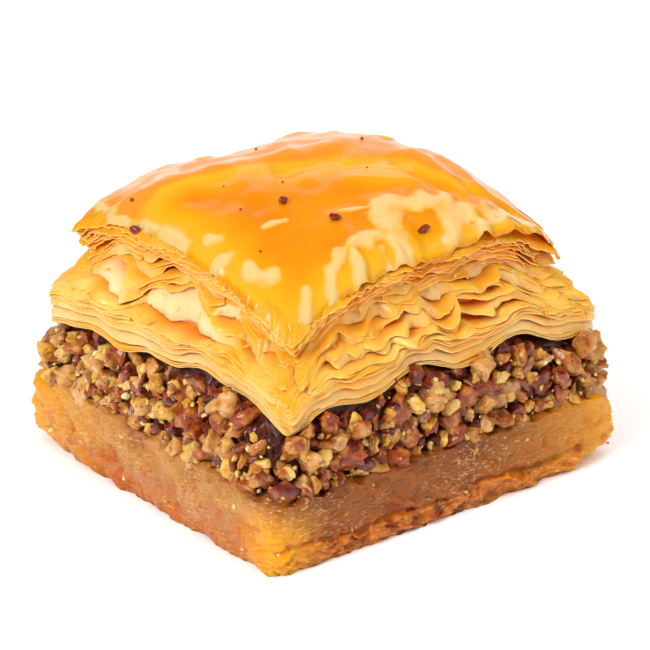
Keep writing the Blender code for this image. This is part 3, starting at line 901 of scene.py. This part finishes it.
def nut_finish(name, colours, groove, coat):
    """Walnut in syrup: mottled between its colours, with painted shade in its wrinkles and painted light towards the
    left end of the filling.
    """
    material = bpy.data.materials.new(name)
    material.use_nodes = True
    tree = material.node_tree
    shader = tree.nodes["Principled BSDF"]
    place = add(tree, "ShaderNodeTexCoord").outputs["Object"]
    tint = add(tree, "ShaderNodeAttribute", attribute_name="tint").outputs["Fac"]
    ridge = add(tree, "ShaderNodeAttribute", attribute_name="ridge").outputs["Fac"]
    mottle = add(tree, "ShaderNodeTexNoise", {"Vector": place, "Scale": cells(1.25), "Detail": 5.0}).outputs["Fac"]
    fine = add(tree, "ShaderNodeTexNoise", {"Vector": place, "Scale": cells(0.38), "Detail": 5.0}).outputs["Fac"]
    share = add(tree, "ShaderNodeMath", {0: mottle, 1: 2.4, 2: -1.2}, operation="MULTIPLY_ADD").outputs[0]
    # Painted light: nuts turn paler towards the left end of the filling, which faces the key lamp.
    outward = add(tree, "ShaderNodeVectorMath", {0: place, 1: LIT_END}, operation="DOT_PRODUCT").outputs["Value"]
    paler_at_lit_end = add(tree, "ShaderNodeMapRange", {"Value": outward, "From Min": 0.012, "From Max": 0.03, "To Max": 0.28}).outputs[0]
    varied = add(tree, "ShaderNodeMath", {0: tint, 1: share}, operation="ADD").outputs[0]
    mixed = add(tree, "ShaderNodeMath", {0: varied, 1: paler_at_lit_end}, operation="ADD").outputs[0]
    stops = [(i / (len(colours) - 1), colour) for i, colour in enumerate(colours)]
    flesh = add(tree, "ShaderNodeValToRGB", {"Fac": mixed}, stops).outputs[0]
    # Painted shade: points deep in a wrinkle, mixed with a fine speckle, are darkened towards the groove colour.
    speckled = add(tree, "ShaderNodeMath", {0: fine, 1: 0.5, 2: ridge}, operation="MULTIPLY_ADD").outputs[0]
    deep = add(tree, "ShaderNodeMapRange", {"Value": speckled, "From Min": 0.66, "From Max": 0.42}).outputs[0]
    skin = add(tree, "ShaderNodeMix", {0: deep, 6: flesh, 7: linear(groove)}, data_type="RGBA").outputs[2]
    tree.links.new(skin, shader.inputs["Base Color"])
    bump = add(tree, "ShaderNodeBump", {"Height": fine, "Strength": 0.8, "Distance": 0.00022})
    tree.links.new(bump.outputs[0], shader.inputs["Normal"])
    shader.inputs["Roughness"].default_value = 0.4
    shader.inputs["Specular IOR Level"].default_value = 0.3
    shader.inputs["Subsurface Weight"].default_value = 0.4
    shader.inputs["Subsurface Radius"].default_value = (1.0, 0.5, 0.2)
    shader.inputs["Subsurface Scale"].default_value = 0.0006
    shader.inputs["Coat Weight"].default_value = coat
    shader.inputs["Coat Roughness"].default_value = 0.12
    return material


# %% Core of the filling
def nut_core():
    """The dark syrupy mass that the loose nuts sit in, a closed solid from base to hem."""
    core_turn, u, v = cut_rim(320, 18.0)
    rings = []
    for level in np.linspace(0.0, 1.0, 18):
        lumps = 0.35 * rim_noise(61, 6.0, 2.0, core_turn + level) + 0.2 * rim_noise(62, 3.0, 1.2, core_turn - level)
        set_in = 2.7 + lumps + 1.4 * level**2
        top = hem_surface(u, v) - 0.2
        z = BASE_TOP - 0.4 + level * (top - BASE_TOP + 0.4)
        rings.append(np.stack([u * (HALF[0] - set_in), v * (HALF[1] - set_in), z], axis=-1))
    for share in (0.85, 0.65, 0.45, 0.25):
        flat = rings[17].copy()
        flat[:, :2] *= share
        flat[:, 2] = hem_surface(u * share, v * share) - 0.2
        rings.append(flat)
    rings = np.array(rings)
    return loft_mesh("nut_core", rings, {"ridge": np.full(rings.shape[:2], 0.42)})


SYRUP = nut_finish("nut_syrup", ("#4A1606", "#6A2A0C", "#8A4818"), "#3A1004", 0.25)
values = {"Height": 1.6 * MM, "Size": 1.9 * MM, "Fade": 3.0, "Seed": 4.0, "Material": SYRUP}
settle(run_tree("nut_core", nut_core(), CRINKLE, values), "chopped_nuts", "nut_filling")


# %% Shapes of chopped walnut
def nut_shape(seed, subdivisions, cuts, wrinkle, flatness):
    """One chopped piece about 1 mm across: an uneven ball with flat cuts and deep wrinkles."""
    rng = np.random.default_rng(seed)
    shape = bmesh.new()
    bmesh.ops.create_icosphere(shape, subdivisions=subdivisions, radius=0.5)
    points = np.array([vert.co[:] for vert in shape.verts])
    bend = rng.normal(size=(3, 3)) * 2.2
    points += 0.09 * np.sin(points @ bend + rng.uniform(0.0, math.tau, 3))
    for _ in range(cuts):
        normal = rng.normal(size=3)
        normal /= np.linalg.norm(normal)
        beyond = np.clip(points @ normal - rng.uniform(0.16, 0.36), 0.0, None)
        points -= 0.95 * beyond[:, None] * normal
    warp = 0.12 * np.sin(points @ (rng.normal(size=(3, 3)) * 5.0) + rng.uniform(0.0, math.tau, 3))
    ridges = 1.0
    for _ in range(4):
        direction = rng.normal(size=3)
        direction *= rng.uniform(5.0, 9.0) / np.linalg.norm(direction)
        crease = np.abs(np.sin((points + warp) @ direction + rng.uniform(0.0, math.tau)))
        ridges = np.minimum(ridges, 0.25 + crease)
    points *= (1.0 + wrinkle * (ridges - 0.8))[:, None]
    points *= (1.0, rng.uniform(0.65, 0.95), flatness * rng.uniform(0.8, 1.1))
    for vert, point in zip(shape.verts, points):
        vert.co = point * MM
    mesh = bpy.data.meshes.new("nut_shape")
    shape.to_mesh(mesh)
    shape.free()
    mesh.attributes.new("ridge", "FLOAT", "POINT").data.foreach_set("value", ridges.astype(np.float32))
    mesh.shade_smooth()
    return mesh


def shape_shelf(name, meshes):
    """A shelf of shapes outside the scene, for the tree to pick from."""
    shelf = bpy.data.collections.new(name)
    for i, mesh in enumerate(meshes):
        shelf.objects.link(bpy.data.objects.new(f"{name}_{i}", mesh))
    return shelf


# %% Scatter tree
def scatter_tree():
    """Spreads turned and sized copies of a shelf's shapes over a surface, each with its own tint."""
    sizes = (
        ("Shelf", "NodeSocketCollection", None),
        ("Apart", "NodeSocketFloat", 0.001),
        ("Per Area", "NodeSocketFloat", 1.0e6),
        ("Smallest", "NodeSocketFloat", 1.0),
        ("Largest", "NodeSocketFloat", 3.0),
        ("Tilt", "NodeSocketFloat", math.pi),
        ("Seed", "NodeSocketInt", 1),
        ("Material", "NodeSocketMaterial", None),
    )
    tree, given = new_tree("scatter", sizes)
    spread = {"Mesh": given["Geometry"], "Distance Min": given["Apart"], "Density Max": given["Per Area"]}
    spread["Seed"] = given["Seed"]
    spread_points = add(tree, "GeometryNodeDistributePointsOnFaces", spread, distribute_method="POISSON").outputs
    picked = {"Collection": given["Shelf"], "Separate Children": True, "Reset Children": True}
    shelf = add(tree, "GeometryNodeCollectionInfo", picked).outputs[0]
    back = add(tree, "ShaderNodeMath", {0: given["Tilt"], 1: -1.0}, operation="MULTIPLY").outputs[0]
    least = add(tree, "ShaderNodeCombineXYZ", {0: back, 1: back, 2: 0.0}).outputs[0]
    most = add(tree, "ShaderNodeCombineXYZ", {0: given["Tilt"], 1: given["Tilt"], 2: math.tau}).outputs[0]
    swing = {0: least, 1: most, "Seed": given["Seed"]}
    swung = add(tree, "FunctionNodeRandomValue", swing, data_type="FLOAT_VECTOR").outputs[0]
    facing = {"Rotation": spread_points["Rotation"], "Rotate By": swung}
    turned = add(tree, "FunctionNodeRotateRotation", facing, rotation_space="LOCAL").outputs[0]
    other = add(tree, "ShaderNodeMath", {0: given["Seed"], 1: 7.0}, operation="ADD").outputs[0]
    spin = add(tree, "FunctionNodeRandomValue", {2: 0.0, 3: 1.0, "Seed": other}, data_type="FLOAT").outputs[1]
    skewed = add(tree, "ShaderNodeMath", {0: spin, 1: 1.6}, operation="POWER").outputs[0]
    limits = {"Value": skewed, "To Min": given["Smallest"], "To Max": given["Largest"]}
    sized = add(tree, "ShaderNodeMapRange", limits).outputs[0]
    copying = {"Points": spread_points["Points"], "Instance": shelf, "Pick Instance": True, "Rotation": turned, "Scale": sized}
    copies = add(tree, "GeometryNodeInstanceOnPoints", copying).outputs[0]
    tint = add(tree, "FunctionNodeRandomValue", {2: 0.0, 3: 1.0, "Seed": given["Seed"]}, data_type="FLOAT").outputs[1]
    storing = {"Geometry": copies, "Name": "tint", "Value": tint}
    tinted = add(tree, "GeometryNodeStoreNamedAttribute", storing, data_type="FLOAT", domain="INSTANCE").outputs[0]
    close_tree(tree, tinted, given["Material"])
    return tree


SCATTER = scatter_tree()


# %% Nuts over the sides of the filling
def filling_wall(set_in, low, below_hem, lean, spill):
    """An open band round the filling, which the nuts are spread over; it spills out at the two ends."""
    _, u, v = cut_rim(240, 22.0)
    outer = np.maximum(0.0, -u * v) ** 5
    rings = []
    for level in np.linspace(0.0, 1.0, 8):
        z = low + level * (hem_surface(u, v) - below_hem - low)
        reach = set_in + lean * level * (1.0 - outer) - spill * outer * math.sin(math.pi * (0.15 + 0.8 * level))
        rings.append(np.stack([u * (HALF[0] - reach), v * (HALF[1] - reach), z], axis=-1))
    return mesh_from("filling_wall", np.concatenate(rings), ring_faces(8, 240, closed=False))


def scatter(kind, finish, band, shapes, apart, smallest, largest, seed, tilt=math.pi):
    """Runs the scatter tree for one kind of piece and clears its shelf."""
    shelf = shape_shelf(kind, shapes)
    values = {"Shelf": shelf, "Apart": apart * MM, "Per Area": 8.0e6, "Smallest": smallest, "Largest": largest}
    values.update(Seed=seed, Material=finish, Tilt=tilt)
    pieces = run_tree(kind, band, SCATTER, values)
    for shape in list(shelf.objects):
        bpy.data.objects.remove(shape)
    bpy.data.collections.remove(shelf)
    return pieces


DARK_NUTS = nut_finish("dark_walnut_skin", ("#540C04", "#7E280A", "#9C5428", "#B88448"), "#340802", 0.7)
BROWN_NUTS = nut_finish("brown_walnut", ("#8C3410", "#B0601C", "#C8883C", "#D8A464"), "#5C2004", 0.55)
PALE_NUTS = nut_finish("pale_walnut", ("#B87420", "#D09834", "#DEAE4C", "#E8C070"), "#8A4810", 0.4)
CRUMBS = nut_finish("walnut_crumb", ("#B47428", "#DCA850", "#F0C878", "#F8DCA0"), "#8A5018", 0.2)
dark_shapes = [nut_shape(3 + i, 3, 5, 0.4, 0.6) for i in range(9)]
dark = scatter("dark_nuts", DARK_NUTS, filling_wall(2.1, BASE_TOP + 0.2, 0.9, 1.5, 0.3), dark_shapes, 2.3, 2.6, 5.2, 3)
settle(dark, "chopped_nuts")
brown_shapes = [nut_shape(20 + i, 3, 5, 0.45, 0.8) for i in range(12)]
brown = scatter("brown_nuts", BROWN_NUTS, filling_wall(2.0, BASE_TOP - 0.3, 1.3, 1.1, 0.6), brown_shapes, 2.3, 2.1, 5.2, 12)
settle(brown, "chopped_nuts")
pale_shapes = [nut_shape(40 + i, 3, 6, 0.4, 0.8) for i in range(12)]
pale = scatter("pale_nuts", PALE_NUTS, filling_wall(1.9, BASE_TOP - 0.2, 1.6, 0.8, 0.8), pale_shapes, 2.7, 1.6, 4.4, 31)
settle(pale, "chopped_nuts")
crumb_shapes = [nut_shape(70 + i, 2, 5, 0.3, 0.7) for i in range(8)]
crumbs = scatter("nut_crumbs", CRUMBS, filling_wall(1.7, BASE_TOP - 0.2, 1.4, 1.0, 0.5), crumb_shapes, 1.5, 0.4, 1.5, 57)
settle(crumbs, "chopped_nuts")

# %% [markdown]
# Three things are loose on the real piece: torn bits of leaf along the open rims, crumbs of walnut that
# stick to the wet base, and specks of nut skin that fell on the top while it was wet.

# %% Torn flakes and stuck crumbs
def flake_shape(seed):
    """One torn bit of leaf about 1 mm across: a thin curled plate with an uneven outline."""
    rng = np.random.default_rng(seed)
    angle = np.arange(7) * math.tau / 7.0 + rng.uniform(-0.4, 0.4, 7)
    reach = rng.uniform(0.15, 0.6, 7)
    x, y = reach * np.cos(angle), 0.6 * reach * np.sin(angle)
    curl = rng.uniform(0.3, 0.9) * x * x + rng.uniform(-0.6, 0.6) * x * y
    outline = np.stack([x, y, curl], axis=-1)
    marks = {"level": np.full((2, 7), 0.6), "inward": np.full((2, 7), 0.5)}
    return loft_mesh("flake_shape", [outline - (0.0, 0.0, 0.03), outline + (0.0, 0.0, 0.03)], marks)


def leaf_wall():
    """An open band along the rims of the middle and upper leaves."""
    _, u, v = cut_rim(240, 30.0)
    rings = []
    for level in np.linspace(0.25, 0.97, 8):
        reach = side_set_in(level) + 0.1
        low, high = hem_surface(u, v), crown_surface(u, v)
        x, y = u * (HALF[0] - reach), v * (HALF[1] - reach)
        rings.append(np.stack([x - TOP_SKEW * v, y, low + level * (high - low)], axis=-1))
    return mesh_from("leaf_wall", np.concatenate(rings), ring_faces(8, 240, closed=False))


def base_wall():
    """An open band up the sides of the soaked base."""
    _, u, v = cut_rim(240, 30.0)
    rings = []
    for height, set_in in ((1.5, 0.5), (BASE_TOP - 1.5, 0.9), (BASE_TOP - 0.2, 1.6)):
        rings.append(np.stack([u * (HALF[0] - set_in), v * (HALF[1] - set_in), height + 0.0 * u], axis=-1))
    return mesh_from("base_wall", np.concatenate(rings), ring_faces(3, 240, closed=False))


flake_shapes = [flake_shape(90 + i) for i in range(10)]
flakes = scatter("torn_flakes", BAKED, leaf_wall(), flake_shapes, 3.0, 0.3, 1.4, 11, tilt=0.6)
settle(flakes, "baked_leaves")
stuck = scatter("stuck_crumbs", CRUMBS, base_wall(), crumb_shapes, 4.5, 0.5, 1.5, 5)
settle(stuck, "chopped_nuts")

# %% Specks on the top
# Listed: x, y and width in mm.
SPECKS = (
    (-20.0, 7.0, 1.3),
    (-8.5, -4.0, 1.4),
    (-5.5, -9.5, 1.5),
    (2.5, -14.5, 1.6),
    (-17.5, 11.0, 0.7),
    (-12.5, -2.0, 0.35),
    (-6.0, -1.0, 0.4),
    (-14.5, -8.0, 0.35),
    (4.0, -3.0, 0.35),
    (-2.0, 9.0, 0.5),
    (9.0, 4.0, 0.45),
    (-11.0, 3.0, 0.3),
)


def speck_mesh():
    """Small squashed bits of nut skin, half sunk in the glaze where they fell."""
    surface = top_sheet()[0].reshape(-1, 3)
    points, faces, ridges = [], [], []
    start = 0
    for i, (x, y, width) in enumerate(SPECKS):
        shape = nut_shape(110 + i, 3 if width > 1.0 else 2, 4, 0.3, 0.85)
        own = np.array([vert.co[:] for vert in shape.vertices]) / MM * width
        height = surface[np.argmin(np.hypot(surface[:, 0] - x, surface[:, 1] - y)), 2]
        points.append(own + (x, y, height + 0.22 * width))
        faces.append(np.array([face.vertices[:] for face in shape.polygons]) + start)
        ridges.append(np.array([mark.value for mark in shape.attributes["ridge"].data]))
        start += len(own)
    return mesh_from("top_specks", np.concatenate(points), np.concatenate(faces), {"ridge": np.concatenate(ridges)})


SPECK_SKIN = nut_finish("fallen_nut_skin", ("#7E200A", "#A4441C", "#C0783C"), "#4A0E02", 0.6)
settle(plain_object("top_specks", speck_mesh(), SPECK_SKIN), "chopped_nuts")

# %% [markdown]
# The floor is a plain pale sheet. A soft key from the left and above models the folds, a weaker fill
# keeps the other side readable, and a pale sky fills the rest.

# %% Floor and light
FLOOR_SIZE = 4.0


def pale_floor():
    """A white floor, very matt."""
    material = bpy.data.materials.new("white_floor")
    material.use_nodes = True
    shader = material.node_tree.nodes["Principled BSDF"]
    shader.inputs["Base Color"].default_value = linear("#FFFFFF")
    shader.inputs["Roughness"].default_value = 0.9
    return material


mesh = bpy.data.meshes.new("floor")
half = FLOOR_SIZE / 2.0
mesh.from_pydata([(-half, -half, 0), (half, -half, 0), (half, half, 0), (-half, half, 0)], [], [(0, 1, 2, 3)])
floor = plain_object("floor", mesh, pale_floor())

world = bpy.data.worlds.new("studio")
world.use_nodes = True
sky = world.node_tree
toward = add(sky, "ShaderNodeTexCoord").outputs["Generated"]
height = add(sky, "ShaderNodeSeparateXYZ", {0: toward}).outputs["Z"]
SKY_LOW, SKY_HIGH = 0.12, 1.35
SKY_RISE = {"From Min": 0.42, "From Max": 0.75, "To Min": SKY_LOW, "To Max": SKY_HIGH}
rise = add(sky, "ShaderNodeMapRange", {"Value": height, **SKY_RISE})
sky.links.new(rise.outputs[0], sky.nodes["Background"].inputs["Strength"])
sky.nodes["Background"].inputs["Color"].default_value = (1.0, 1.0, 1.0, 1.0)
bpy.context.scene.world = world
world.cycles_visibility.glossy = False

LAMPS = (
    ("key", (-0.45, -0.1, 0.34), 0.22, 2.1),
    ("fill", (0.25, -0.45, 0.25), 0.4, 0.8),
    ("back", (0.3, 0.42, 0.2), 0.5, 0.7),
)
for name, place, size, power in LAMPS:
    light = bpy.data.lights.new(name, "AREA")
    light.energy = power
    light.size = size
    lamp = bpy.data.objects.new(name, light)
    bpy.context.scene.collection.objects.link(lamp)
    lamp.location = place
    lamp.rotation_euler = (Vector((0.0, 0.0, 0.015)) - Vector(place)).to_track_quat("-Z", "Y").to_euler()

# %% [markdown]
# The camera looks down on the near corner at about 24 degrees, with a long lens so that the sides
# converge only a little.

# %% Camera
AZIMUTH, ELEVATION = math.radians(-38.4), math.radians(24.2)
DISTANCE = 0.45
LENS = 225.5
back = Vector((math.sin(AZIMUTH) * math.cos(ELEVATION), -math.cos(AZIMUTH) * math.cos(ELEVATION), math.sin(ELEVATION)))
right = Vector((math.cos(AZIMUTH), math.sin(AZIMUTH), 0.0))
up = back.cross(right)
camera = bpy.data.objects.new("camera", bpy.data.cameras.new("camera"))
camera.data.lens = LENS
camera.data.clip_start = 0.01
camera.matrix_world = Matrix.Translation(
    Vector((0.0, 0.0, 0.017)) + back * DISTANCE + right * 0.000453 - up * 0.00201
) @ Matrix((right, up, back)).transposed().to_4x4()
bpy.context.scene.collection.objects.link(camera)
bpy.context.scene.camera = camera
bpy.context.scene.view_settings.view_transform = "Standard"

# %% Finish
print("done")
